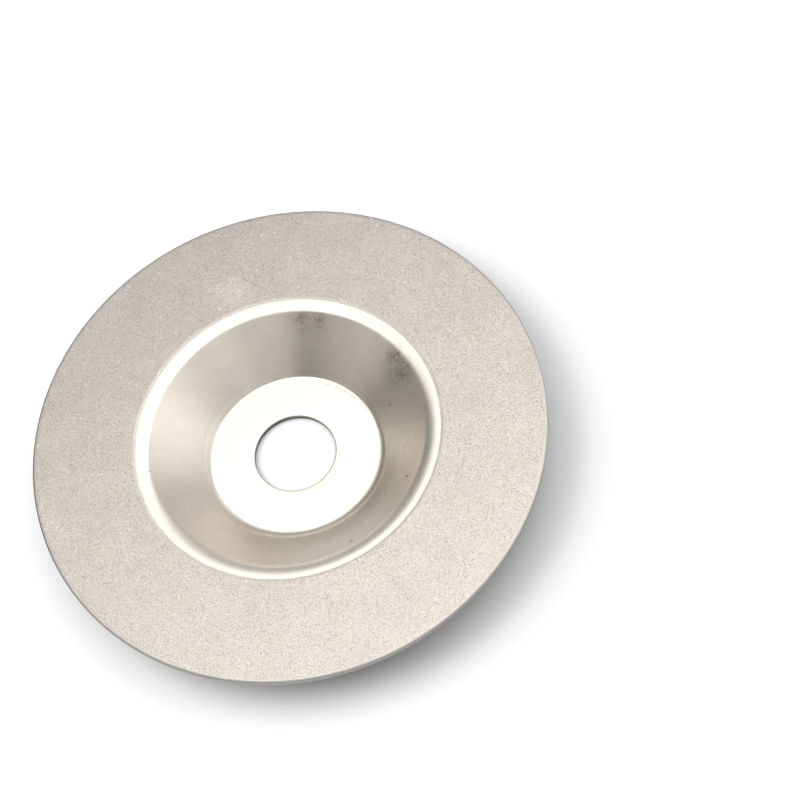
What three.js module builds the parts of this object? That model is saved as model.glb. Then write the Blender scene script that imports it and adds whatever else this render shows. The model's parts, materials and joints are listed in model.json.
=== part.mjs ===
// A 100 mm diamond grinding wheel for an angle grinder, in millimetres, +Z up.
// It is a shallow dish pressed from steel sheet, with a flat hub and a 16 mm bore, and a single
// layer of diamond grains held in electroplated nickel on the front face of its wide flat rim.
// The origin is on the spin axis, at the back face of the hub. +Z points out of the grit face.
import * as THREE from "three";

// Driving dimensions
const WHEEL_DIAMETER = 100;
const BORE_DIAMETER = 16;
const HUB_FLAT_DIAMETER = 33; // flat front face of the hub, where the lock nut seats
const DISH_DEPTH = 8.5; // hub front face to rim front face
const SHEET_THICKNESS = 1.2;
const RIM_FLAT_INNER_RADIUS = 29.6; // the rim is flat from here to its edge
const FOOT_RADIUS = 0.6; // front bend between the hub and the cone
const SHOULDER_RADIUS = 2.4; // front bend at the top of the cone
const LIP_RADIUS = 7; // gentler bend that eases the shoulder into the flat of the rim
const LIP_SLOPE = (16 * Math.PI) / 180; // where the shoulder hands over to the lip
const EDGE_BREAK = 0.25; // tumbled edges of the blank, at the rim and the bore

const COATING_INNER_RADIUS = 29.8;
const COATING_OUTER_RADIUS = 49.75; // the flat of the rim ends here
const BOND_THICKNESS = 0.16;
const GRAIN_STAND_OUT = 0.14; // how far the grains stand out of the bond
const GRAIN_MARGIN = 0.1; // bare bond along both edges of the grain layer

// Facets
const TURN_SEGMENTS = 96; // a multiple of 8, so that the outline reaches its full width on X and Y
const BEND_SEGMENTS = 4;

// Worked out from them
const WHEEL_RADIUS = WHEEL_DIAMETER / 2;
const BORE_RADIUS = BORE_DIAMETER / 2;
const HUB_FLAT_RADIUS = HUB_FLAT_DIAMETER / 2;
const HUB_FRONT_Z = SHEET_THICKNESS;
const RIM_FRONT_Z = HUB_FRONT_Z + DISH_DEPTH;
const BOND_FRONT_Z = RIM_FRONT_Z + BOND_THICKNESS;
const GRAIN_FRONT_Z = BOND_FRONT_Z + GRAIN_STAND_OUT;

// The centre of the shoulder's arc, on the line through the lip's centre at the lip's slope.
function shoulderCentre() {
  const apart = LIP_RADIUS - SHOULDER_RADIUS;
  const r = RIM_FLAT_INNER_RADIUS - apart * Math.sin(LIP_SLOPE);
  const z = RIM_FRONT_Z - LIP_RADIUS + apart * Math.cos(LIP_SLOPE);
  return new THREE.Vector2(r, z);
}

// The cone's slope from the hub's plane: the straight stretch is tangent to foot and shoulder.
function coneSlope() {
  const shoulder = shoulderCentre();
  const run = shoulder.x - HUB_FLAT_RADIUS;
  const rise = shoulder.y - HUB_FRONT_Z - FOOT_RADIUS;
  return Math.atan2(rise, run) + Math.asin((FOOT_RADIUS + SHOULDER_RADIUS) / Math.hypot(run, rise));
}

// Points of a bend about (centreR, centreZ), by angle from straight down towards +R.
function bend(centreR, centreZ, radius, fromAngle, toAngle) {
  const points = [];
  for (let step = 0; step <= BEND_SEGMENTS; step += 1) {
    const angle = fromAngle + ((toAngle - fromAngle) * step) / BEND_SEGMENTS;
    const r = centreR + radius * Math.sin(angle);
    const z = centreZ - radius * Math.cos(angle);
    points.push(new THREE.Vector2(r, z));
  }
  return points;
}

// One face of the sheet from the hub to the rim. offset is 0 on the front and the sheet's
// thickness on the back.
function sheetFace(offset) {
  const slope = coneSlope();
  const centre = shoulderCentre();
  const lipZ = RIM_FRONT_Z - LIP_RADIUS;
  const foot = bend(HUB_FLAT_RADIUS, HUB_FRONT_Z + FOOT_RADIUS, FOOT_RADIUS + offset, 0, slope);
  const top = Math.PI;
  const handOver = top + LIP_SLOPE;
  const shoulder = bend(centre.x, centre.y, SHOULDER_RADIUS - offset, top + slope, handOver);
  const lip = bend(RIM_FLAT_INNER_RADIUS, lipZ, LIP_RADIUS - offset, handOver, top);
  return [...foot, ...shoulder, ...lip.slice(1)];
}

// Spins a closed (r, z) outline, given anticlockwise, about +Z.
function turned(outline) {
  const closed = [...outline, outline[0].clone()];
  const geometry = new THREE.LatheGeometry(closed, TURN_SEGMENTS);
  geometry.rotateX(Math.PI / 2);
  return geometry;
}

function steelDishGeometry() {
  const back = sheetFace(SHEET_THICKNESS);
  const front = sheetFace(0).reverse();
  const boreEdge = [
    new THREE.Vector2(BORE_RADIUS, HUB_FRONT_Z - EDGE_BREAK),
    new THREE.Vector2(BORE_RADIUS, EDGE_BREAK),
    new THREE.Vector2(BORE_RADIUS + EDGE_BREAK, 0),
  ];
  const rimBackZ = RIM_FRONT_Z - SHEET_THICKNESS;
  const rimEdge = [
    new THREE.Vector2(WHEEL_RADIUS - EDGE_BREAK, rimBackZ),
    new THREE.Vector2(WHEEL_RADIUS, rimBackZ + EDGE_BREAK),
    new THREE.Vector2(WHEEL_RADIUS, RIM_FRONT_Z - EDGE_BREAK),
    new THREE.Vector2(WHEEL_RADIUS - EDGE_BREAK, RIM_FRONT_Z),
  ];
  const frontBoreCorner = new THREE.Vector2(BORE_RADIUS + EDGE_BREAK, HUB_FRONT_Z);
  return turned([...boreEdge, ...back, ...rimEdge, ...front, frontBoreCorner]);
}

// A flat ring between two radii and two heights.
function flatRingGeometry(innerRadius, outerRadius, lowZ, highZ) {
  return turned([
    new THREE.Vector2(innerRadius, lowZ),
    new THREE.Vector2(outerRadius, lowZ),
    new THREE.Vector2(outerRadius, highZ),
    new THREE.Vector2(innerRadius, highZ),
  ]);
}

function nickelBondGeometry() {
  return flatRingGeometry(COATING_INNER_RADIUS, COATING_OUTER_RADIUS, RIM_FRONT_Z, BOND_FRONT_Z);
}

// The space that the standing grains fill, as one thin ring.
function diamondGritGeometry() {
  return flatRingGeometry(
    COATING_INNER_RADIUS + GRAIN_MARGIN,
    COATING_OUTER_RADIUS - GRAIN_MARGIN,
    BOND_FRONT_Z,
    GRAIN_FRONT_Z,
  );
}

function part(name, geometry, colour, metalness, roughness) {
  const material = new THREE.MeshStandardMaterial({ color: colour, metalness, roughness });
  const mesh = new THREE.Mesh(geometry, material);
  mesh.name = name;
  return mesh;
}

const wheel = new THREE.Group();
wheel.name = "diamond_grinding_wheel";
wheel.add(part("steel_dish", steelDishGeometry(), 0xd8d2c6, 1, 0.25));
wheel.add(part("nickel_bond", nickelBondGeometry(), 0xb8afa4, 1, 0.55));
wheel.add(part("diamond_grit", diamondGritGeometry(), 0xcfc6bd, 0, 0.5));

export default wheel;
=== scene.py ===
import json
import math

import bmesh
import bpy
import numpy as np
from mathutils import Matrix, Vector


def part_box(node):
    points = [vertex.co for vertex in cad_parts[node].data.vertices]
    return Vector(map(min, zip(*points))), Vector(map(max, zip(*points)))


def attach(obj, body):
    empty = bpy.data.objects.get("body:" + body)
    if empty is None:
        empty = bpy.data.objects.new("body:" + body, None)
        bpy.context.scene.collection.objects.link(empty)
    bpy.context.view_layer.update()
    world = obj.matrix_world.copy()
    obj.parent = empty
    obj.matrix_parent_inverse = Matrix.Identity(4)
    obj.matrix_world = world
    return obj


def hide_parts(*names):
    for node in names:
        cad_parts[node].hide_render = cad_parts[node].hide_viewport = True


# A 100 mm dished diamond grinding wheel, lying hub down on a pale floor in a soft-box studio.
# The dish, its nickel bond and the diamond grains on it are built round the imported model, in
# metres, +Z up the spin axis. Where a place on the wheel is given by an azimuth, that is degrees
# from +X, counted towards +Y.

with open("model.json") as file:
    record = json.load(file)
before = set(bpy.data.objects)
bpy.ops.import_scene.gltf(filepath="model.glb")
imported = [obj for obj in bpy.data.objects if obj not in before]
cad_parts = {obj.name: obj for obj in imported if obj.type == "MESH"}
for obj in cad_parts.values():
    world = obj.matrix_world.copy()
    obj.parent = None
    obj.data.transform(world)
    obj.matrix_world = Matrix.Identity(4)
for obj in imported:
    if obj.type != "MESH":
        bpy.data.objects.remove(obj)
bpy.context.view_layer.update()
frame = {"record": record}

MM = 0.001

# The wheel, from the frame
DISH_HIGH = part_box("steel_dish")[1]
BOND_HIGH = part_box("nickel_bond")[1]
GRIT_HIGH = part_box("diamond_grit")[1]
MOUNTS = {mount["name"]: mount for mount in frame["record"]["mounts"]}
WHEEL_RADIUS = DISH_HIGH[0]
RIM_FRONT_Z = DISH_HIGH[2]
HUB_FRONT_Z = MOUNTS["lock_nut_seat"]["pos_m"][2]
SHEET = HUB_FRONT_Z  # the hub's back is at the origin
BOND_OUTER_RADIUS = BOND_HIGH[0]
BOND_THICKNESS = BOND_HIGH[2] - RIM_FRONT_Z
GRAIN_OUTER_RADIUS = GRIT_HIGH[0]
COATING_THICKNESS = GRIT_HIGH[2] - RIM_FRONT_Z

# The wheel, as in part.mjs
BORE_RADIUS = 8 * MM
HUB_FLAT_RADIUS = 16.5 * MM
RIM_FLAT_INNER_RADIUS = 29.6 * MM
FOOT_RADIUS = 0.6 * MM
SHOULDER_RADIUS = 2.4 * MM
LIP_RADIUS = 7 * MM
LIP_SLOPE = math.radians(16)
EDGE_ROUND = 0.25 * MM
BOND_INNER_RADIUS = 29.8 * MM
LIP_START_RADIUS = RIM_FLAT_INNER_RADIUS - LIP_RADIUS * math.sin(LIP_SLOPE)

# How the pressing strays from a perfect turned shape
SOFT_FOOT_AZIMUTH = math.radians(-85)  # the middle of the side where the foot's bend is soft
SOFT_FOOT_HALF = math.radians(40)  # fully soft this far to either side
SOFT_FOOT_GONE = math.radians(120)  # and as designed from here on
SOFT_FOOT_GAIN = 2.2 * MM  # how much the foot's radius grows there
SOFT_FOOT_SHIFT = 0.1 * MM  # and how far out its bend starts
HARD_FOOT_SHIFT = -0.15 * MM  # and how far in it starts on the other side
FOOT_BULGE_AZIMUTH = math.radians(-50)  # where the bend is pushed out a little further
FOOT_BULGE_HALF = math.radians(60)
FOOT_BULGE = 0.2 * MM
WALL_WAVE = 0.035 * MM
WAVE_SPREAD = (1, 9)  # how soft the wave is: rows, columns

# How fine the visible surfaces are
DISH_SEGMENTS = 480
FOOT_STEPS, WALL_STEPS, SHOULDER_STEPS, LIP_STEPS = 14, 30, 12, 14
HUB_STEPS, RIM_STEPS, EDGE_STEPS, EDGE_WALL_STEPS = 4, 8, 6, 4
BOND_SEGMENTS = 1080
BOND_RINGS, BOND_EDGE_STEPS, BOND_RAMP_RINGS = 78, 4, 7

# The plating
BOND_WAVE = 0.02 * MM  # how far the bond's surface sinks between its high spots
BOND_WAVE_SPREAD = (1.1, 1.3)
BOND_EDGE_STRAY = 0.05 * MM  # how far its edges wander
BOND_STRAY_SPREAD = (0.01, 2.5)
BOND_EDGE_ROUND = 0.09 * MM
BOND_RAMP = 0.6 * MM  # the plating thins out over this width at its inner edge
BOND_THINNEST = 0.1  # to this share of its thickness
BOND_FEATHER = 0.1 * MM  # and its thin edge creeps this far inside the mask
MASK_SHIFT = Vector((0, -0.2 * MM, 0))  # how far the plating mask sat off the axis

# The grains
GRAIN_PITCH = 0.30 * MM
GRAIN_SIZES = (0.17 * MM, 0.24 * MM)
GRAIN_STRAY = 0.36  # of the pitch
GRAIN_KINDS = 9
GRAIN_SIDES = (0.75, 1.1)  # how long a crystal's sides are, before its corners are pushed about
GRAIN_CORNERS = (0.7, 1.15)  # how far out its corners are pushed
GRAIN_TOPS = (0.66, 0.88)  # how high it reaches, as a share of the coating
GRAIN_LOWEST = 0.3  # how much of that is left at the thin inner edge
GRAIN_PATCHES = 6
SEED = 20

# Colours
NICKEL_PINKISH = (0.605, 0.550, 0.485)
NICKEL_GREENISH = (0.590, 0.555, 0.490)
NICKEL_CLEAN = (0.612, 0.580, 0.522)
NICKEL_THIN = (0.74, 0.71, 0.67)
EDGE_DARKEST = (0.20, 0.20, 0.185)
EDGE_BRIGHT = (0.37, 0.37, 0.345)
NUT_MARK = (0.40, 0.355, 0.315)
DIRT = (0.10, 0.085, 0.075)
# the bore's bare cut wall, near black with painted shade for the shadow in the bore
BORE_WALL_SHADED_DARK = (0.06, 0.055, 0.05)
BORE_WALL_SHADED_LIGHT = (0.20, 0.185, 0.17)
BOND_LILAC = (0.603, 0.549, 0.522)
BOND_BEIGE = (0.594, 0.554, 0.499)
GRAIN_LILAC = (0.544, 0.494, 0.472)
GRAIN_BEIGE = (0.533, 0.499, 0.449)
GRAIN_BARE = (0.72, 0.70, 0.65)
FLOOR_COLOUR = (0.63, 0.63, 0.635)

# Finishes. A size is that of the lumps in a noise, a range is the part of the noise that is used,
# and a shade is how light the darkest and the lightest places are.
NOISE_RANGE = (0.3, 0.7)  # nearly all of a noise

# The finish of the steel
STAIN_SIZE, STAIN_RANGE = 7 * MM, (0.36, 0.64)
CLOUD_SIZE, CLOUD_SHADE = 3 * MM, (0.975, 1.02)
PEEL_SIZE, PEEL_SHADE = 0.3 * MM, (0.985, 1.015)  # the fine orange peel of the plating
PEEL_DEPTH = 0.0015 * MM
PEEL_ON_FLATS = 0.2  # how much of the peel the hub and the rim have
STREAK_WIDTH, STREAK_LENGTH = 0.16 * MM, 9 * MM  # of the drawing lines round the axis
STREAK_RANGE, STREAK_SHADE = (0.4, 0.6), (0.93, 1.045)
STREAK_RELIEF = 0.25  # of the peel's
STREAK_ROUGHNESS = (-0.01, 0.015)  # added
PRESS_LINES = (0.4 * MM, 2.2 * MM)  # the lines show this far out from the hub, over a soft edge
WALL_MASK_SOFT = 0.5 * MM
HUB_FADE = 0.3 * MM  # the hub's clean nickel ends over this width at the foot
LIP_FADE, LIP_CLEAN = (-0.8 * MM, 0.4 * MM), 0.5  # and the lip's starts here, this clean
FOOT_SHADE_REACH, FOOT_SHADE = (17 * MM, 25 * MM), (0.93, 1.02)  # the wall darkens to its foot
ROUGH_SIZE, WALL_ROUGHNESS, HUB_ROUGHNESS = 1.6 * MM, (0.275, 0.305), 0.2
CUT_SIZE, CUT_ROUGHNESS = 0.25 * MM, 0.2  # the bare wall of the bore. The roughness is added
CUT_REACH = (0.2 * MM, 0.3 * MM)  # the bore's wall ends this far out from the bore
CUT_TOP = (0.22 * MM, 0.12 * MM)  # and this far below the hub's front
CUT_STRETCH = (1, 1, 0.1)  # draws the marks of the punch out along the bore
RIM_EDGE_WIDTH, RIM_EDGE_ROUGHNESS = 0.1 * MM, 0.1  # the roughness is added

# The finish of the coating
COATING_SIZE, COATING_SHADE = 9 * MM, (0.96, 1.035)
TINT_SIZE, TINT_RANGE = 6 * MM, (0.35, 0.65)
PAINTED_LIGHT_LEAN = (0.4, -2.7, 0)  # painted light: the coating's tone rises this much a metre along X and Y, lighter towards the near side
LUMP_SIZE, LUMP_SHADE = 0.3 * MM, (0.92, 1.05)
NODULE_SIZE, NODULE_RELIEF = 0.12 * MM, 0.4  # of the lumps'
BOND_ROUGHNESS = (0.60, 0.52)
BOND_RELIEF = 0.012 * MM
THIN_REACH, THIN_SHOW = 0.35 * MM, 0.45  # the steel shows this much through the thin inner edge
GRAIN_SHADE = (0.75, 1.19)
SPECKLE_SIZE, SPECKLE_SHADE = 0.1 * MM, (0.93, 1.05)
GRAIN_ROUGHNESS = (0.54, 0.64)
GRAIN_METAL = 0.62  # how metallic the skin of nickel makes a grain
BARE_CHANCE = (0.992, 0.996)  # grains past this chance are bare
DIAMOND_IOR = 2.42

# The finish of the floor
PAPER_SIZE, PAPER_SHADE = 0.8 * MM, (0.985, 1.0)
PAPER_ROUGHNESS, PAPER_SPECULAR = 0.9, 0.2

# Marks of use and handling, a darker edge line, and painted shade round the smudges
DARK_EDGE_SIDE = (110, 55, 130)  # the rim's edge is darkest round this azimuth, a dark line along the far side: middle, full, gone
DARK_EDGE_WIDTH = (0.7 * MM, 0.2 * MM)  # the coating beside it is darker from here to here
DARK_EDGE_TONE = -0.2
NUT_MARK_CENTRE = (0.65 * MM, -0.55 * MM, 0)
NUT_MARK_RADIUS = 15.8 * MM
NUT_MARK_HALF, NUT_MARK_SOFT = 0.2 * MM, 0.15 * MM
NUT_MARK_MIDDLE = (38, 16 * MM, 15 * MM)  # plainest here: azimuth, distance, reach
NUT_WEAR_SIZE, NUT_WEAR_RANGE, NUT_WEAR = 1.5 * MM, (0.35, 0.6), (0.3, 0.85)
# specks of dirt, and smudges of dirt with a soft painted shade round them, on the wall: azimuth,
# distance, reach
SPECKS = (
    (-39, 24.8 * MM, 0.42 * MM),
    (-77, 25.6 * MM, 0.38 * MM),
    (5, 20.6 * MM, 0.28 * MM),
    (176, 27.2 * MM, 0.22 * MM),
)
SMUDGE_AND_SHADE_PATCHES = (
    (69, 25.6 * MM, 3.4 * MM),
    (61, 25.4 * MM, 3.3 * MM),
    (21, 26.0 * MM, 4.0 * MM),
    (14, 25.0 * MM, 5.0 * MM),
)
RAGGED_SIZE, RAGGED = 1.8 * MM, (0.55, 1.15)  # how a smudge thins and thickens
PAINTED_SHADE_FULL, SMUDGE_PAINTED_SHADE = 0.8, 0.93  # painted shade round the smudges: full at this mask, and this dark
DUST_SIZE = 0.32 * MM
DUST_CLEAN, DUST_SMUDGED = 0.78, 0.43  # noise above this is a grain of dirt
DUST_SMUDGE_FULL = 0.9  # the second of these is for a smudge this full
DUST_SOFT, DUST_STRENGTH = 0.12, 0.48  # how soft a grain's edge is, and how strong its middle
FRONT_FACING = 0.1  # a normal's Z, from which a face counts as front
# spots and scratches on the coating, each with how much it lightens
SPOTS = (
    ((93, 34 * MM, 5.5 * MM), 0.10),  # a lighter patch
    ((100, 31.8 * MM, 0.35 * MM), 0.9),  # a bright chip
)
SCRATCHES = (
    (((-5.5 * MM, 34.5 * MM), (0.4 * MM, 37.8 * MM), 0.4 * MM), 0.09),  # start, end, width
    (((0.6 * MM, 36.6 * MM), (4.9 * MM, 31.2 * MM), 0.3 * MM), -0.16),
)

# The camera
CAMERA_ELEVATION = math.radians(61.3)
CAMERA_ROLL = math.radians(18.59)
CAMERA_DISTANCE = 0.391
CAMERA_AIM = Vector((22.6 * MM, -1.0 * MM, RIM_FRONT_Z))
CAMERA_LENS = 92.4
CAMERA_CLIP = 10 * MM

# The studio. Its directions are an azimuth in degrees from +Y towards +X, and a tilt from
# straight up. A panel is full and gone this many degrees from its middle.
FLOOR_SIZE = 6
FLOOR_SWEEP = (0.16, 0.5)  # the floor fades into the white backdrop between these distances
BACKDROP = 1.0  # the background that the camera sees past the floor
SURROUND = 0.08
# two rings of panels: (tilt, full, gone), then the radiance of each panel, from azimuth 0 on
RING_STEP = 45
RINGS = (
    ((70, 8, 32), (0.15, 0.7, 0.9, 0.0, 0.0, 0.0, 0.25, 0.35)),
    ((44, 6, 26), (0.35, 0.6, 0.75, 0.74, 0.7, 0.45, 0.75, 0.0)),
)
# more panels, and dark flags with less than no light: azimuth, tilt, full, gone, radiance
PANELS = (
    (80, 80, 4, 18, 0.95),  # white wall on the right
    (0, 80, 8, 28, 0.9),  # white wall behind
    (220, 52, 1, 9, -0.42),  # flag at the front left
    (286, 72, 1, 11, -0.07),  # flag on the left
)
BOX_HEIGHT = 0.7
BOX_HALF_WIDTH = math.radians(43)
BOX_HALF_DEPTH = math.radians(32)
BOX_LEAN_X = math.radians(7)
BOX_LEAN_Y = math.radians(5)
BOX_RADIANCE = 1.95
# the key, which lights the floor and the grains from the left but is not mirrored in the steel
KEY_AZIMUTH, KEY_TILT = 290, 45
KEY_HALF = math.radians(26)
KEY_DISTANCE = 1.0
KEY_RADIANCE = 4.3


# Shapes

def arc(centre, radius, start, end, steps):
    """(r, z) points of an arc, by angle from straight down towards +R."""
    angles = np.linspace(start, end, steps + 1)
    return np.column_stack((
        centre[0] + radius * np.sin(angles),
        centre[1] - radius * np.cos(angles),
    ))


def line(start, end, steps):
    """(r, z) points of a straight stretch, without its ends."""
    along = np.linspace(0, 1, steps + 2)[1:-1, None]
    return np.array(start) * (1 - along) + np.array(end) * along


def turned(outline, segments):
    """An (r, z) outline spun about +Z: (around the section, around the axis, xyz)."""
    angles = np.linspace(0, 2 * math.pi, segments, endpoint=False)
    radius, height = outline[:, 0, None], outline[:, 1, None]
    return np.stack((
        radius * np.cos(angles), radius * np.sin(angles), height + 0 * angles,
    ), axis=-1)


def soft_noise(rng, shape, spread):
    """Smooth random heights from 0 to 1 that repeat along both axes."""
    rows, columns = shape
    raw = rng.normal(size=shape)
    fy = np.fft.fftfreq(rows)[:, None] * spread[0]
    fx = np.fft.fftfreq(columns)[None, :] * spread[1]
    blur = np.exp(-2 * math.pi ** 2 * (fy ** 2 + fx ** 2))
    smooth = np.fft.ifft2(np.fft.fft2(raw) * blur).real
    low, high = np.percentile(smooth, (1, 99))
    return np.clip((smooth - low) / (high - low), 0, 1)


def solid_mesh(name, verts, faces, smooth):
    """A mesh of faces that all have the same number of corners."""
    mesh = bpy.data.meshes.new(name)
    corners = faces.shape[1]
    mesh.vertices.add(verts.size // 3)
    mesh.vertices.foreach_set("co", verts.reshape(-1).astype(np.float32))
    mesh.loops.add(faces.size)
    mesh.loops.foreach_set("vertex_index", faces.reshape(-1).astype(np.int32))
    mesh.polygons.add(len(faces))
    mesh.polygons.foreach_set("loop_start", np.arange(0, faces.size, corners, dtype=np.int32))
    mesh.polygons.foreach_set("use_smooth", np.full(len(faces), smooth, dtype=bool))
    mesh.update(calc_edges=True)
    mesh.validate()
    return mesh


def ring_mesh(name, points):
    """A closed ring of quads. points is (around the section, around the axis, xyz)."""
    rows, columns = points.shape[:2]
    index = np.arange(rows * columns).reshape(rows, columns)
    below = np.roll(index, -1, axis=0)
    quads = np.stack((
        index, np.roll(index, -1, axis=1), np.roll(below, -1, axis=1), below,
    ), axis=-1)
    return solid_mesh(name, points, quads.reshape(-1, 4), True)


# The dish

def sheet_face(offset, softness, bulge):
    """One face of the pressed sheet from the hub to the rim, offset from the front face.

    softness is 0 where the foot is as designed, and 1 where its bend is softest. bulge is how
    far the foot is pushed out.
    """
    between = LIP_RADIUS - SHOULDER_RADIUS
    shoulder_centre = (
        RIM_FLAT_INNER_RADIUS - between * math.sin(LIP_SLOPE),
        RIM_FRONT_Z - LIP_RADIUS + between * math.cos(LIP_SLOPE),
    )
    foot_radius = FOOT_RADIUS + softness * SOFT_FOOT_GAIN
    shift = softness * SOFT_FOOT_SHIFT + (1 - softness) * HARD_FOOT_SHIFT
    foot_centre = (HUB_FLAT_RADIUS + shift + bulge, HUB_FRONT_Z + foot_radius)
    run, rise = shoulder_centre[0] - foot_centre[0], shoulder_centre[1] - foot_centre[1]
    bends = foot_radius + SHOULDER_RADIUS
    slope = math.atan2(rise, run) + math.asin(bends / math.hypot(run, rise))
    hand_over = math.pi + LIP_SLOPE
    foot = arc(foot_centre, foot_radius + offset, 0, slope, FOOT_STEPS)
    shoulder_radius = SHOULDER_RADIUS - offset
    shoulder = arc(shoulder_centre, shoulder_radius, math.pi + slope, hand_over, SHOULDER_STEPS)
    lip_centre = (RIM_FLAT_INNER_RADIUS, RIM_FRONT_Z - LIP_RADIUS)
    lip = arc(lip_centre, LIP_RADIUS - offset, hand_over, math.pi, LIP_STEPS)
    return np.vstack((foot, line(foot[-1], shoulder[0], WALL_STEPS), shoulder, lip[1:]))


def dish_outline(softness, bulge):
    """The sheet's whole section, anticlockwise, with rounded edges at the bore and the rim."""
    e = EDGE_ROUND
    rim_back = RIM_FRONT_Z - SHEET
    back, front = sheet_face(SHEET, softness, bulge), sheet_face(0, softness, bulge)[::-1]
    bore_back = arc((BORE_RADIUS + e, e), e, -math.pi / 2, 0, EDGE_STEPS)
    rim_low = arc((WHEEL_RADIUS - e, rim_back + e), e, 0, math.pi / 2, EDGE_STEPS)
    rim_high = arc((WHEEL_RADIUS - e, RIM_FRONT_Z - e), e, math.pi / 2, math.pi, EDGE_STEPS)
    bore_centre = (BORE_RADIUS + e, HUB_FRONT_Z - e)
    bore_front = arc(bore_centre, e, math.pi, 3 * math.pi / 2, EDGE_STEPS)
    return np.vstack((
        bore_back,
        line(bore_back[-1], back[0], HUB_STEPS),
        back,
        line(back[-1], rim_low[0], RIM_STEPS),
        rim_low,
        line(rim_low[-1], rim_high[0], EDGE_WALL_STEPS),
        rim_high,
        line(rim_high[-1], front[0], RIM_STEPS),
        front,
        line(front[-1], bore_front[0], HUB_STEPS),
        bore_front,
        line(bore_front[-1], bore_back[0], EDGE_WALL_STEPS),
    ))


def apart(angles, middle):
    """How far angles are from a middle one, going the short way round."""
    return np.abs((angles - middle + math.pi) % (2 * math.pi) - math.pi)


def fade(distance, full, gone):
    """1 up to the full distance, falling smoothly to 0 at the gone distance."""
    return np.cos(np.clip((distance - full) / (gone - full), 0, 1) * math.pi) / 2 + 0.5


def dish_points(rng):
    """The pressed dish, with a foot that is softer on one side and a faintly wavy wall."""
    angles = np.linspace(0, 2 * math.pi, DISH_SEGMENTS, endpoint=False)
    softness = fade(apart(angles, SOFT_FOOT_AZIMUTH), SOFT_FOOT_HALF, SOFT_FOOT_GONE)
    bulge = FOOT_BULGE * fade(apart(angles, FOOT_BULGE_AZIMUTH), 0, FOOT_BULGE_HALF)
    outlines = np.stack([dish_outline(*foot) for foot in zip(softness, bulge)], axis=1)
    radius, height = outlines[..., 0], outlines[..., 1].copy()
    wall = np.clip((radius - HUB_FLAT_RADIUS) / (RIM_FLAT_INNER_RADIUS - HUB_FLAT_RADIUS), 0, 1)
    wave = soft_noise(rng, (1, DISH_SEGMENTS), WAVE_SPREAD) - 0.5
    height += WALL_WAVE * wave * np.sin(wall * math.pi) ** 2
    return np.stack((radius * np.cos(angles), radius * np.sin(angles), height), axis=-1)


# The bond

def mask_shift(radius):
    """How far (x, y) of the coating moves: the whole shift at its inner edge, none outside."""
    share = (BOND_OUTER_RADIUS - radius) / (BOND_OUTER_RADIUS - BOND_INNER_RADIUS)
    return share[..., None] * np.array(MASK_SHIFT.xy)


def bond_points(rng):
    """The plated ring: flat below, lumpy above, rounded outside and thinning out inside."""
    e = BOND_EDGE_ROUND
    outer_centre = (BOND_OUTER_RADIUS - e, RIM_FRONT_Z + BOND_THICKNESS - e)
    outer = arc(outer_centre, e, math.pi / 2, math.pi, BOND_EDGE_STEPS)
    rise = np.linspace(1, 0, BOND_RAMP_RINGS)
    eased = BOND_THINNEST + (1 - BOND_THINNEST) * rise * rise * (3 - 2 * rise)
    inner_radius = BOND_INNER_RADIUS - BOND_FEATHER
    inner = np.column_stack((
        inner_radius + rise * BOND_RAMP, RIM_FRONT_Z + eased * BOND_THICKNESS,
    ))
    top = line(outer[-1], inner[0], BOND_RINGS)
    feet = np.array([(inner_radius, RIM_FRONT_Z), (BOND_OUTER_RADIUS, RIM_FRONT_Z)])
    points = turned(np.vstack((feet, outer, top, inner)), BOND_SEGMENTS)
    lumps = soft_noise(rng, points.shape[:2], BOND_WAVE_SPREAD)
    above = slice(len(feet), len(points))
    share = (points[above, :, 2] - RIM_FRONT_Z) / BOND_THICKNESS
    points[above, :, 2] -= lumps[above] * BOND_WAVE * share
    stray = soft_noise(rng, (2, BOND_SEGMENTS), BOND_STRAY_SPREAD) * BOND_EDGE_STRAY
    near_inner = np.r_[0, len(points) - len(inner):len(points)]
    near_outer = np.r_[1:len(feet) + len(outer)]
    for rows, shift in ((near_inner, stray[0]), (near_outer, -stray[1])):
        radius = np.hypot(points[rows, :, 0], points[rows, :, 1])
        points[rows, :, :2] *= ((radius + shift) / radius)[..., None]
    points[..., :2] += mask_shift(np.hypot(points[..., 0], points[..., 1]))
    return points


# The grains

def crystals(rng):
    """Blocky crystals, each the convex hull of a cube with its corners pushed about."""
    corners = [(a, b, c) for a in (-1, 1) for b in (-1, 1) for c in (-1, 1)]
    shapes = []
    for _ in range(GRAIN_KINDS):
        points = np.array(corners) * rng.uniform(*GRAIN_SIDES, 3)
        points *= rng.uniform(*GRAIN_CORNERS, (len(points), 1))
        hull = bmesh.new()
        for point in points:
            hull.verts.new(point)
        made = bmesh.ops.convex_hull(hull, input=hull.verts)
        inside = [v for v in made["geom_interior"] if isinstance(v, bmesh.types.BMVert)]
        bmesh.ops.delete(hull, geom=inside, context="VERTS")
        bmesh.ops.triangulate(hull, faces=hull.faces)
        bmesh.ops.recalc_face_normals(hull, faces=hull.faces)
        hull.verts.index_update()
        verts = np.array([v.co for v in hull.verts])
        faces = np.array([[v.index for v in f.verts] for f in hull.faces])
        shapes.append((verts / np.ptp(verts, axis=0).mean(), faces))
        hull.free()
    return shapes


def turns(rng, count):
    """Random rotation matrices, even over all directions."""
    q = rng.normal(size=(count, 4))
    w, x, y, z = (q / np.linalg.norm(q, axis=1)[:, None]).T
    return np.stack((
        1 - 2 * (y * y + z * z), 2 * (x * y - z * w), 2 * (x * z + y * w),
        2 * (x * y + z * w), 1 - 2 * (x * x + z * z), 2 * (y * z - x * w),
        2 * (x * z - y * w), 2 * (y * z + x * w), 1 - 2 * (x * x + y * y),
    ), axis=1).reshape(count, 3, 3)


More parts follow.
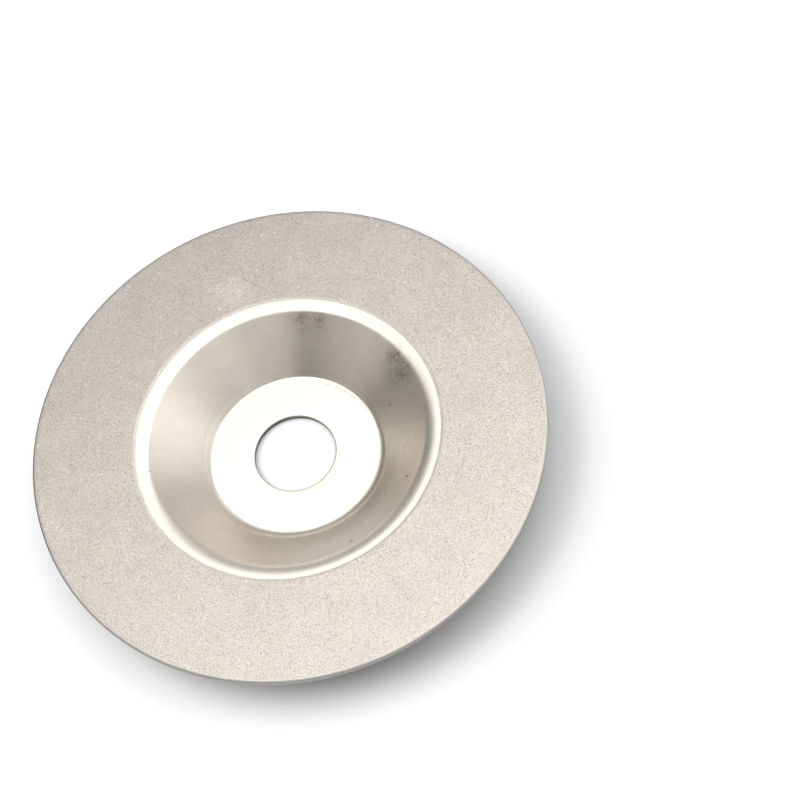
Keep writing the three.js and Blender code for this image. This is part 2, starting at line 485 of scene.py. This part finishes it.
def grain_spots(rng):
    """(x, y) of every grain: rings a row apart, each spot strayed at random."""
    row = GRAIN_PITCH * math.sqrt(3) / 2
    rows = round((GRAIN_OUTER_RADIUS - BOND_INNER_RADIUS) / row)
    spots = []
    for radius in np.linspace(BOND_INNER_RADIUS, GRAIN_OUTER_RADIUS, rows):
        count = round(2 * math.pi * radius / GRAIN_PITCH)
        angle = (np.arange(count) + rng.uniform()) * 2 * math.pi / count
        spots.append(np.column_stack((radius * np.cos(angle), radius * np.sin(angle))))
    spots = np.vstack(spots)
    spots += rng.uniform(-GRAIN_STRAY, GRAIN_STRAY, spots.shape) * GRAIN_PITCH
    radius = np.hypot(*spots.T)
    edge = max(GRAIN_SIZES) / 2
    keep = (radius > BOND_INNER_RADIUS - edge) & (radius < GRAIN_OUTER_RADIUS - edge)
    return spots[keep]


def grains(rng, spots, shapes):
    """Vertices and triangles of one crystal at each spot, with its lower part sunk in the bond."""
    kind = rng.integers(0, len(shapes), len(spots))
    verts, faces, start = [], [], 0
    for k, (shape, triangles) in enumerate(shapes):
        at = spots[kind == k]
        size = rng.uniform(*GRAIN_SIZES, len(at))
        body = np.einsum("nij,kj->nki", turns(rng, len(at)), shape) * size[:, None, None]
        radius = np.hypot(*at.T)
        past_edge = radius - BOND_INNER_RADIUS + BOND_FEATHER
        full = np.clip(past_edge / BOND_RAMP, GRAIN_LOWEST, 1)
        top = RIM_FRONT_Z + rng.uniform(*GRAIN_TOPS, len(at)) * full * COATING_THICKNESS
        body[..., 2] += (top - body[..., 2].max(axis=1))[:, None]
        body[..., :2] += (at + mask_shift(radius))[:, None, :]
        verts.append(body.reshape(-1, 3))
        first = start + np.arange(len(at))[:, None, None] * len(shape)
        faces.append((triangles[None] + first).reshape(-1, 3))
        start += len(at) * len(shape)
    return np.vstack(verts), np.vstack(faces)


# Shader nodes

def node(tree, kind, inputs=None, **settings):
    """A shader node, with its settings, and its inputs set to values or linked to sockets."""
    made = tree.nodes.new(kind)
    for name, value in settings.items():
        setattr(made, name, value)
    for key, value in (inputs or {}).items():
        if isinstance(value, bpy.types.NodeSocket):
            tree.links.new(value, made.inputs[key])
        else:
            made.inputs[key].default_value = value
    return made


def math_node(tree, operation, a, b=0.0):
    return node(tree, "ShaderNodeMath", {0: a, 1: b}, operation=operation).outputs[0]


def vector_math(tree, operation, a, b=(0, 0, 0)):
    """The vector that an operation on two vectors gives."""
    made = node(tree, "ShaderNodeVectorMath", {0: a, 1: b}, operation=operation)
    return made.outputs["Vector"]


def measure(tree, operation, a, b=(0, 0, 0)):
    """The number that an operation on two vectors gives: LENGTH, DISTANCE or DOT_PRODUCT."""
    made = node(tree, "ShaderNodeVectorMath", {0: a, 1: b}, operation=operation)
    return made.outputs["Value"]


def scaled(tree, vector, factor):
    """A vector made longer, or a colour made lighter, by a factor."""
    made = node(tree, "ShaderNodeVectorMath", {0: vector, "Scale": factor}, operation="SCALE")
    return made.outputs["Vector"]


def flattened(tree, place):
    """A place with its height taken away."""
    return vector_math(tree, "MULTIPLY", place, (1, 1, 0))


def height_of(tree, vector):
    return node(tree, "ShaderNodeSeparateXYZ", {0: vector}).outputs["Z"]


def remap(tree, value, source, target, interpolation="LINEAR"):
    """value taken from the source range to the target range, held at the target's ends."""
    return node(tree, "ShaderNodeMapRange", {
        "Value": value, "From Min": source[0], "From Max": source[1],
        "To Min": target[0], "To Max": target[1],
    }, interpolation_type=interpolation).outputs["Result"]


def mix(tree, factor, a, b):
    """Number a where factor is 0 and number b where it is 1."""
    return node(tree, "ShaderNodeMix", {"Factor": factor, "A": a, "B": b}).outputs["Result"]


def blend(tree, factor, a, b):
    """Colour a where factor is 0 and colour b where it is 1."""
    made = node(tree, "ShaderNodeMix", data_type="RGBA")
    for socket, value in (("Factor_Float", factor), ("A_Color", a), ("B_Color", b)):
        target = next(i for i in made.inputs if i.identifier == socket)
        if isinstance(value, bpy.types.NodeSocket):
            tree.links.new(value, target)
        else:
            target.default_value = (*value, 1)
    return next(o for o in made.outputs if o.identifier == "Result_Color")


def noise(tree, vector, size, detail=2.0, roughness=0.5):
    """Soft noise from about 0.25 to 0.75, with lumps of about the given size."""
    return node(tree, "ShaderNodeTexNoise", {
        "Vector": vector, "Scale": 1 / size, "Detail": detail, "Roughness": roughness,
    }).outputs["Fac"]


def bump(tree, height, depth):
    """A normal from heights of 0 to 1 that stand for this depth."""
    made = node(tree, "ShaderNodeBump", {"Height": height, "Strength": 1.0, "Distance": depth})
    return made.outputs["Normal"]


def wheel_place(tree):
    """Position on the wheel, distance from its axis, and the direction away from the axis."""
    place = tree.nodes.new("ShaderNodeTexCoord").outputs["Object"]
    flat = flattened(tree, place)
    return place, measure(tree, "LENGTH", flat), vector_math(tree, "NORMALIZE", flat)


def round_streaks(tree, radius, outward, width, length):
    """Noise drawn out round the axis: streaks of this width, about this length at the hub."""
    along = scaled(tree, outward, HUB_FLAT_RADIUS / length)
    across = node(tree, "ShaderNodeCombineXYZ", {"Z": math_node(tree, "DIVIDE", radius, width)})
    return noise(tree, vector_math(tree, "ADD", along, across.outputs["Vector"]), 1)


# Masks, from 0 to 1

def ring_mask(tree, radius, inner, outer, soft):
    """1 between two distances from the axis and 0 outside them, over soft edges."""
    rise = remap(tree, radius, (inner - soft, inner + soft), (0, 1), "SMOOTHSTEP")
    fall = remap(tree, radius, (outer - soft, outer + soft), (1, 0), "SMOOTHSTEP")
    return math_node(tree, "MULTIPLY", rise, fall)


def distance_to(tree, place, spot):
    """Distance from an (x, y, 0) spot, seen along the axis."""
    return measure(tree, "DISTANCE", flattened(tree, place), spot)


def patch_mask(tree, place, azimuth, radius, reach):
    """1 at a spot on the wheel, given by its azimuth and its distance from the axis, 0 past reach."""
    a = math.radians(azimuth)
    spot = (radius * math.cos(a), radius * math.sin(a), 0)
    return remap(tree, distance_to(tree, place, spot), (0, reach), (1, 0), "SMOOTHSTEP")


def scratch_mask(tree, place, start, end, width):
    """1 along a straight line between two (x, y) spots on the rim, 0 past its width."""
    start, end = Vector((*start, 0)), Vector((*end, 0))
    run = end - start
    offset = vector_math(tree, "SUBTRACT", flattened(tree, place), start)
    along = measure(tree, "DOT_PRODUCT", offset, run / run.length_squared)
    nearest = scaled(tree, run, remap(tree, along, (0, 1), (0, 1)))
    away = measure(tree, "DISTANCE", offset, nearest)
    return remap(tree, away, (0, width), (1, 0), "SMOOTHSTEP")


def facing_mask(tree, vector, middle, full, gone, strength=1):
    """strength where a unit vector is within full degrees of a middle one, 0 past gone degrees."""
    facing = measure(tree, "DOT_PRODUCT", vector, middle)
    low, high = math.cos(math.radians(gone)), math.cos(math.radians(full))
    return remap(tree, facing, (low, high), (0, strength), "SMOOTHSTEP")


def side_mask(tree, outward, middle, full, gone):
    """1 on the side of the wheel round a middle azimuth, all in degrees, 0 on the other side."""
    a = math.radians(middle)
    return facing_mask(tree, outward, (math.cos(a), math.sin(a), 0), full, gone)


def dirt_and_shade_masks(tree, place):
    """The soft painted shade round the smudges, and the specks and grains of dirt on the front face.
    """
    smudge_and_shade = 0.0
    for spot in SMUDGE_AND_SHADE_PATCHES:
        smudge_and_shade = math_node(tree, "MAXIMUM", patch_mask(tree, place, *spot), smudge_and_shade)
    ragged = remap(tree, noise(tree, place, RAGGED_SIZE), NOISE_RANGE, RAGGED)
    smudge_and_shade = math_node(tree, "MULTIPLY", smudge_and_shade, ragged)
    threshold = remap(tree, smudge_and_shade, (0, DUST_SMUDGE_FULL), (DUST_CLEAN, DUST_SMUDGED))
    above = math_node(tree, "SUBTRACT", noise(tree, place, DUST_SIZE, 1.0), threshold)
    dirt = remap(tree, above, (0, DUST_SOFT), (0, DUST_STRENGTH))
    for speck in SPECKS:
        dirt = math_node(tree, "MAXIMUM", dirt, patch_mask(tree, place, *speck))
    normal = tree.nodes.new("ShaderNodeNewGeometry").outputs["Normal"]
    on_front = remap(tree, height_of(tree, normal), (0, FRONT_FACING), (0, 1))
    return smudge_and_shade, math_node(tree, "MULTIPLY", dirt, on_front)


def nut_mask(tree, place):
    """The lock nut's faint ring on the hub, off centre, patchy and plainest on one side."""
    away = distance_to(tree, place, NUT_MARK_CENTRE)
    inner, outer = NUT_MARK_RADIUS - NUT_MARK_HALF, NUT_MARK_RADIUS + NUT_MARK_HALF
    nut = ring_mask(tree, away, inner, outer, NUT_MARK_SOFT)
    nut = math_node(tree, "MULTIPLY", nut, patch_mask(tree, place, *NUT_MARK_MIDDLE))
    mark_share = remap(tree, noise(tree, place, NUT_WEAR_SIZE), NUT_WEAR_RANGE, NUT_WEAR)
    return math_node(tree, "MULTIPLY", nut, mark_share)


def bore_mask(tree, place, radius):
    """The bare cut wall of the bore, below its rounded edge."""
    near, far = CUT_REACH
    low, high = CUT_TOP
    inside = remap(tree, radius, (BORE_RADIUS + near, BORE_RADIUS + far), (1, 0))
    depth = height_of(tree, place)
    below = remap(tree, depth, (HUB_FRONT_Z - low, HUB_FRONT_Z - high), (1, 0))
    return math_node(tree, "MULTIPLY", inside, below)


# Materials

def new_material(name):
    material = bpy.data.materials.new(name)
    material.use_nodes = True
    return material, material.node_tree, material.node_tree.nodes["Principled BSDF"]


def plated_steel():
    """Pressed steel with a thin bright nickel flash: satin on the wall, cleaner on the hub."""
    material, tree, shader = new_material("plated_steel")
    place, radius, outward = wheel_place(tree)
    peel = noise(tree, place, PEEL_SIZE, 2.0, 0.6)
    streaks = round_streaks(tree, radius, outward, STREAK_WIDTH, STREAK_LENGTH)
    on_hub = remap(tree, radius, (HUB_FLAT_RADIUS, HUB_FLAT_RADIUS + HUB_FADE), (1, 0))
    on_wall = ring_mask(tree, radius, HUB_FLAT_RADIUS, LIP_START_RADIUS, WALL_MASK_SOFT)
    lip_fade = [LIP_START_RADIUS + shift for shift in LIP_FADE]
    on_lip = remap(tree, radius, lip_fade, (0, LIP_CLEAN))
    edge_start = BOND_OUTER_RADIUS - RIM_EDGE_WIDTH
    on_edge = remap(tree, radius, (edge_start, BOND_OUTER_RADIUS), (0, 1))
    in_bore = bore_mask(tree, place, radius)

    # faint stains and clouds in the nickel, which is cleaner on the hub and on the lip
    stains = remap(tree, noise(tree, place, STAIN_SIZE, 3.0), STAIN_RANGE, (0, 1))
    clouds = remap(tree, noise(tree, place, CLOUD_SIZE), NOISE_RANGE, CLOUD_SHADE)
    colour = scaled(tree, blend(tree, stains, NICKEL_PINKISH, NICKEL_GREENISH), clouds)
    colour = blend(tree, math_node(tree, "MAXIMUM", on_hub, on_lip), colour, NICKEL_CLEAN)
    colour = scaled(tree, colour, remap(tree, peel, NOISE_RANGE, PEEL_SHADE))
    # the rim's edge is darker all round, and darkest on the far side
    edge_colour = blend(tree, side_mask(tree, outward, *DARK_EDGE_SIDE), EDGE_BRIGHT, EDGE_DARKEST)
    colour = blend(tree, on_edge, colour, edge_colour)

    # press lines round the foot, and a darker foot
    first, last = (HUB_FLAT_RADIUS + shift for shift in PRESS_LINES)
    at_foot = ring_mask(tree, radius, first, last, WALL_MASK_SOFT)
    lines = remap(tree, streaks, STREAK_RANGE, STREAK_SHADE)
    colour = scaled(tree, colour, mix(tree, at_foot, 1.0, lines))
    foot_shade = remap(tree, radius, FOOT_SHADE_REACH, FOOT_SHADE, "SMOOTHSTEP")
    colour = scaled(tree, colour, foot_shade)

    # painted shade round the smudges, dirt, the lock nut's mark and the bore's cut wall
    smudge_and_shade, dirt = dirt_and_shade_masks(tree, place)
    # painted shade: the wall darkens round the smudges
    colour = scaled(tree, colour, remap(tree, smudge_and_shade, (0, PAINTED_SHADE_FULL), (1, SMUDGE_PAINTED_SHADE)))
    colour = blend(tree, dirt, colour, DIRT)
    colour = blend(tree, nut_mask(tree, place), colour, NUT_MARK)
    # painted shade: the bore's cut wall is near black for the shadow in the bore, with the punch's
    # marks
    cut = noise(tree, vector_math(tree, "MULTIPLY", place, CUT_STRETCH), CUT_SIZE)
    colour = blend(tree, in_bore, colour, blend(tree, cut, BORE_WALL_SHADED_DARK, BORE_WALL_SHADED_LIGHT))

    roughness = remap(tree, noise(tree, place, ROUGH_SIZE, 3.0), NOISE_RANGE, WALL_ROUGHNESS)
    roughness = mix(tree, on_hub, roughness, HUB_ROUGHNESS)
    streaked = remap(tree, streaks, STREAK_RANGE, STREAK_ROUGHNESS)
    cut_rough = math_node(tree, "MULTIPLY", in_bore, CUT_ROUGHNESS)
    edge_rough = math_node(tree, "MULTIPLY", on_edge, RIM_EDGE_ROUGHNESS)
    for more in (streaked, cut_rough, edge_rough):
        roughness = math_node(tree, "ADD", roughness, more)

    height = math_node(tree, "ADD", peel, math_node(tree, "MULTIPLY", streaks, STREAK_RELIEF))
    height = math_node(tree, "MULTIPLY", height, remap(tree, on_wall, (0, 1), (PEEL_ON_FLATS, 1.0)))

    tree.links.new(colour, shader.inputs["Base Color"])
    tree.links.new(roughness, shader.inputs["Roughness"])
    tree.links.new(bump(tree, height, PEEL_DEPTH), shader.inputs["Normal"])
    shader.inputs["Metallic"].default_value = 1
    return material


def coating_tone(tree, place, radius, outward):
    """How light the coating is from place to place: cloudy, with painted light that lightens it
    towards -Y, a darker strip by the far edge, a lighter patch and scratches.
    """
    tone = remap(tree, noise(tree, place, COATING_SIZE, 4.0, 0.6), NOISE_RANGE, COATING_SHADE)
    # painted light: the tone rises towards -Y, the near side
    tone = math_node(tree, "ADD", tone, measure(tree, "DOT_PRODUCT", place, PAINTED_LIGHT_LEAN))
    # a darker strip of coating beside the edge on the far side
    near_edge = [BOND_OUTER_RADIUS - width for width in DARK_EDGE_WIDTH]
    mark_share = remap(tree, radius, near_edge, (0, 1))
    mark_share = math_node(tree, "MULTIPLY", mark_share, side_mask(tree, outward, *DARK_EDGE_SIDE))
    marks = [(mark_share, DARK_EDGE_TONE)]
    marks += [(patch_mask(tree, place, *spot), lighter) for spot, lighter in SPOTS]
    marks += [(scratch_mask(tree, place, *scratch), lighter) for scratch, lighter in SCRATCHES]
    for mask, lighter in marks:
        tone = math_node(tree, "ADD", tone, math_node(tree, "MULTIPLY", mask, lighter))
    return tone


def coating_colour(tree, place, radius, outward, lilac, beige):
    """The coating's colour, between two tints, with its tone, painted light included."""
    tint = remap(tree, noise(tree, place, TINT_SIZE, 3.0), TINT_RANGE, (0, 1))
    tone = coating_tone(tree, place, radius, outward)
    return scaled(tree, blend(tree, tint, lilac, beige), tone)


def nickel_bond():
    """Thick plated nickel between the grains: matte, with tiny rounded nodules."""
    material, tree, shader = new_material("nickel_bond")
    place, radius, outward = wheel_place(tree)
    lumps = noise(tree, place, LUMP_SIZE, 3.0, 0.6)
    nodules = node(tree, "ShaderNodeTexVoronoi", {"Vector": place, "Scale": 1 / NODULE_SIZE},
                   feature="SMOOTH_F1").outputs["Distance"]
    colour = coating_colour(tree, place, radius, outward, BOND_LILAC, BOND_BEIGE)
    colour = scaled(tree, colour, remap(tree, lumps, NOISE_RANGE, LUMP_SHADE))
    edge = BOND_INNER_RADIUS - BOND_FEATHER
    in_by = distance_to(tree, place, MASK_SHIFT)
    thin = remap(tree, in_by, (edge, edge + THIN_REACH), (THIN_SHOW, 0))
    colour = blend(tree, thin, colour, NICKEL_THIN)
    nodule_height = math_node(tree, "MULTIPLY", nodules, NODULE_RELIEF)
    height = math_node(tree, "SUBTRACT", lumps, nodule_height)
    tree.links.new(colour, shader.inputs["Base Color"])
    tree.links.new(remap(tree, lumps, NOISE_RANGE, BOND_ROUGHNESS), shader.inputs["Roughness"])
    tree.links.new(bump(tree, height, BOND_RELIEF), shader.inputs["Normal"])
    shader.inputs["Metallic"].default_value = 1
    return material


def diamond_grit():
    """Diamond grains, each with its own tone: most under a skin of nickel, a few bare and bright."""
    material, tree, shader = new_material("diamond_grit")
    place, radius, outward = wheel_place(tree)
    chance = tree.nodes.new("ShaderNodeNewGeometry").outputs["Random Per Island"]
    second_chance = math_node(tree, "FRACT", math_node(tree, "MULTIPLY", chance, 37))
    colour = coating_colour(tree, place, radius, outward, GRAIN_LILAC, GRAIN_BEIGE)
    colour = scaled(tree, colour, remap(tree, second_chance, (0, 1), GRAIN_SHADE))
    speckle = remap(tree, noise(tree, place, SPECKLE_SIZE), NOISE_RANGE, SPECKLE_SHADE)
    colour = scaled(tree, colour, speckle)
    bare = remap(tree, chance, BARE_CHANCE, (0, 1))
    colour = blend(tree, bare, colour, GRAIN_BARE)
    tree.links.new(colour, shader.inputs["Base Color"])
    tree.links.new(remap(tree, second_chance, (0, 1), GRAIN_ROUGHNESS), shader.inputs["Roughness"])
    tree.links.new(remap(tree, bare, (0, 1), (GRAIN_METAL, 0)), shader.inputs["Metallic"])
    shader.inputs["IOR"].default_value = DIAMOND_IOR
    return material


def pale_floor():
    """Matte white paper. Far from the wheel the camera sees a white sweep, which lights nothing."""
    material, tree, shader = new_material("pale_floor")
    place = tree.nodes.new("ShaderNodeTexCoord").outputs["Object"]
    paper = remap(tree, noise(tree, place, PAPER_SIZE, 3.0), NOISE_RANGE, PAPER_SHADE)
    tree.links.new(scaled(tree, FLOOR_COLOUR, paper), shader.inputs["Base Color"])
    shader.inputs["Roughness"].default_value = PAPER_ROUGHNESS
    shader.inputs["Specular IOR Level"].default_value = PAPER_SPECULAR
    seen = tree.nodes.new("ShaderNodeLightPath").outputs["Is Camera Ray"]
    away = distance_to(tree, place, (0, 0, 0))
    sweep = remap(tree, away, FLOOR_SWEEP, (0, BACKDROP), "SMOOTHSTEP")
    tree.links.new(math_node(tree, "MULTIPLY", seen, sweep), shader.inputs["Emission Strength"])
    shader.inputs["Emission Color"].default_value = (1, 1, 1, 1)
    return material


# Pieces

def add(name, data):
    made = bpy.data.objects.new(name, data)
    bpy.context.scene.collection.objects.link(made)
    return made


def settle(piece, material, cad_node):
    """The finish of a piece, the body it rides on and the CAD node it stands for."""
    piece.data.materials.append(material)
    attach(piece, "root")
    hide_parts(cad_node)


def make_dish(rng):
    dish = add("dish", ring_mesh("dish", dish_points(rng)))
    settle(dish, plated_steel(), "steel_dish")


def make_bond(rng):
    bond = add("bond", ring_mesh("bond", bond_points(rng)))
    settle(bond, nickel_bond(), "nickel_bond")


def make_grains(rng):
    """The grain layer, in patches round the wheel, so that no mesh is too heavy to store."""
    shapes = crystals(rng)
    spots = grain_spots(rng)
    turn = np.arctan2(spots[:, 1], spots[:, 0]) / (2 * math.pi) % 1
    patch_of = np.floor(turn * GRAIN_PATCHES)
    material = diamond_grit()
    for patch in range(GRAIN_PATCHES):
        verts, faces = grains(rng, spots[patch_of == patch], shapes)
        name = f"grains_{patch + 1}"
        piece = add(name, solid_mesh(name, verts, faces, False))
        settle(piece, material, "diamond_grit")


# Camera and studio

def make_camera():
    back = Vector((0, -math.cos(CAMERA_ELEVATION), math.sin(CAMERA_ELEVATION)))
    upright = back.to_track_quat("Z", "Y").to_matrix()
    turn = upright @ Matrix.Rotation(-CAMERA_ROLL, 3, "Z")
    camera = add("camera", bpy.data.cameras.new("camera"))
    camera.matrix_world = Matrix.Translation(CAMERA_AIM + back * CAMERA_DISTANCE) @ turn.to_4x4()
    camera.data.lens = CAMERA_LENS
    camera.data.clip_start = CAMERA_CLIP
    bpy.context.scene.camera = camera


def make_floor():
    mesh = bpy.data.meshes.new("floor")
    half = FLOOR_SIZE / 2
    corners = [(-half, -half, 0), (half, -half, 0), (half, half, 0), (-half, half, 0)]
    mesh.from_pydata(corners, [], [(0, 1, 2, 3)])
    mesh.materials.append(pale_floor())
    add("floor", mesh)


def direction(azimuth, tilt):
    """A unit vector, by degrees from +Y towards +X and degrees from straight up."""
    a, t = math.radians(azimuth), math.radians(tilt)
    return math.sin(t) * math.sin(a), math.sin(t) * math.cos(a), math.cos(t)


def make_studio():
    """A dim room with two rings of panels, two white walls and dark flags, all with soft edges."""
    world = bpy.data.worlds.new("studio")
    bpy.context.scene.world = world
    world.use_nodes = True
    tree = world.node_tree
    towards = tree.nodes.new("ShaderNodeTexCoord").outputs["Generated"]
    panels = list(PANELS)
    for (tilt, full, gone), radiances in RINGS:
        for k, radiance in enumerate(radiances):
            panels.append((k * RING_STEP, tilt, full, gone, radiance))
    level = SURROUND
    for azimuth, tilt, full, gone, radiance in panels:
        glow = facing_mask(tree, towards, direction(azimuth, tilt), full, gone, radiance)
        level = math_node(tree, "ADD", glow, level)
    seen = tree.nodes.new("ShaderNodeLightPath").outputs["Is Camera Ray"]
    tree.links.new(mix(tree, seen, level, BACKDROP), tree.nodes["Background"].inputs["Color"])


def make_lamp(name, shape, width, depth, radiance):
    """A round or oval lamp whose face has this radiance. The camera doesn't see it."""
    lamp = bpy.data.lights.new(name, "AREA")
    lamp.shape = shape
    lamp.size = width
    lamp.size_y = depth
    area = math.pi / 4 * width * depth
    lamp.energy = radiance * math.pi * area
    light = add(name, lamp)
    light.visible_camera = False
    return light


def make_soft_box():
    """The wide lamp overhead, which the hub mirrors."""
    width = 2 * BOX_HEIGHT * math.tan(BOX_HALF_WIDTH)
    depth = 2 * BOX_HEIGHT * math.tan(BOX_HALF_DEPTH)
    light = make_lamp("soft_box", "ELLIPSE", width, depth, BOX_RADIANCE)
    lean_x, lean_y = BOX_HEIGHT * math.tan(BOX_LEAN_X), BOX_HEIGHT * math.tan(BOX_LEAN_Y)
    light.location = (lean_x, lean_y, BOX_HEIGHT)


def make_key():
    """A round lamp that faces the wheel from the left, for the shadow on the floor."""
    width = 2 * KEY_DISTANCE * math.tan(KEY_HALF)
    light = make_lamp("key", "DISK", width, width, KEY_RADIANCE)
    towards = Vector(direction(KEY_AZIMUTH, KEY_TILT))
    turn = towards.to_track_quat("Z", "Y").to_matrix().to_4x4()
    light.matrix_world = Matrix.Translation(towards * KEY_DISTANCE) @ turn
    light.visible_glossy = False


bpy.context.scene.view_settings.view_transform = "Standard"
make_camera()
make_floor()
make_studio()
make_soft_box()
make_key()
make_dish(np.random.default_rng(SEED + 2))
make_bond(np.random.default_rng(SEED))
make_grains(np.random.default_rng(SEED + 1))
